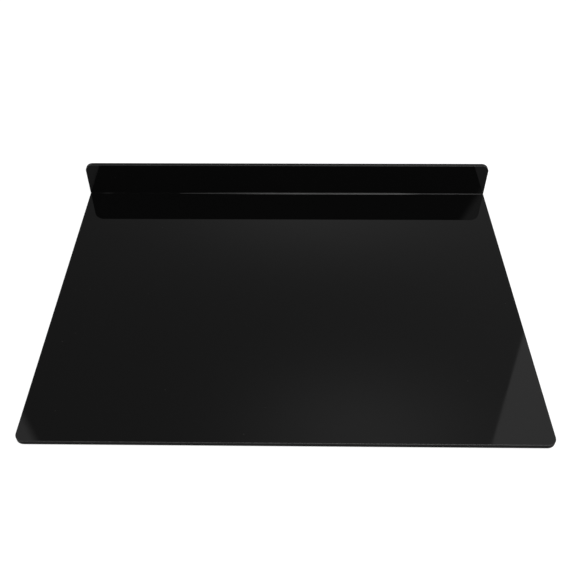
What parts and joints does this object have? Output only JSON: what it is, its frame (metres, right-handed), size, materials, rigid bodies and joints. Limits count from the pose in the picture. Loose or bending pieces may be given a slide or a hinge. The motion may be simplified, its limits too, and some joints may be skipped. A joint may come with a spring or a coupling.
{
  "type": "kick plate",
  "caption": "Flat glossy black acrylic kick plate with rounded free corners, a low upstand cemented along its back edge, and foam mounting tape under its hidden face.",
  "frame": {"origin": "centre of the bounding box's underside, on the release liners' lower faces", "axes": "+X across the plate's width, +Y from the front edge towards the upstand, +Z out of the glossy face"},
  "size_m": [0.6096, 0.4632, 0.0597],
  "materials": {
    "black_acrylic": "mirror gloss, polished edges",
    "cement": "clear set cement over black sheet",
    "foam_tape": "closed-cell foam, matt",
    "release_liner": "siliconised paper"
  },
  "bodies": {
    "root": {"face_panel": "black_acrylic", "upstand_strip": "black_acrylic", "corner_cement": "cement", "tape_front": "foam_tape", "tape_back": "foam_tape", "tape_left": "foam_tape", "tape_right": "foam_tape", "tape_centre": "foam_tape", "liner_front": "release_liner", "liner_back": "release_liner", "liner_left": "release_liner", "liner_right": "release_liner", "liner_centre": "release_liner"}
  },
  "joints": []
}
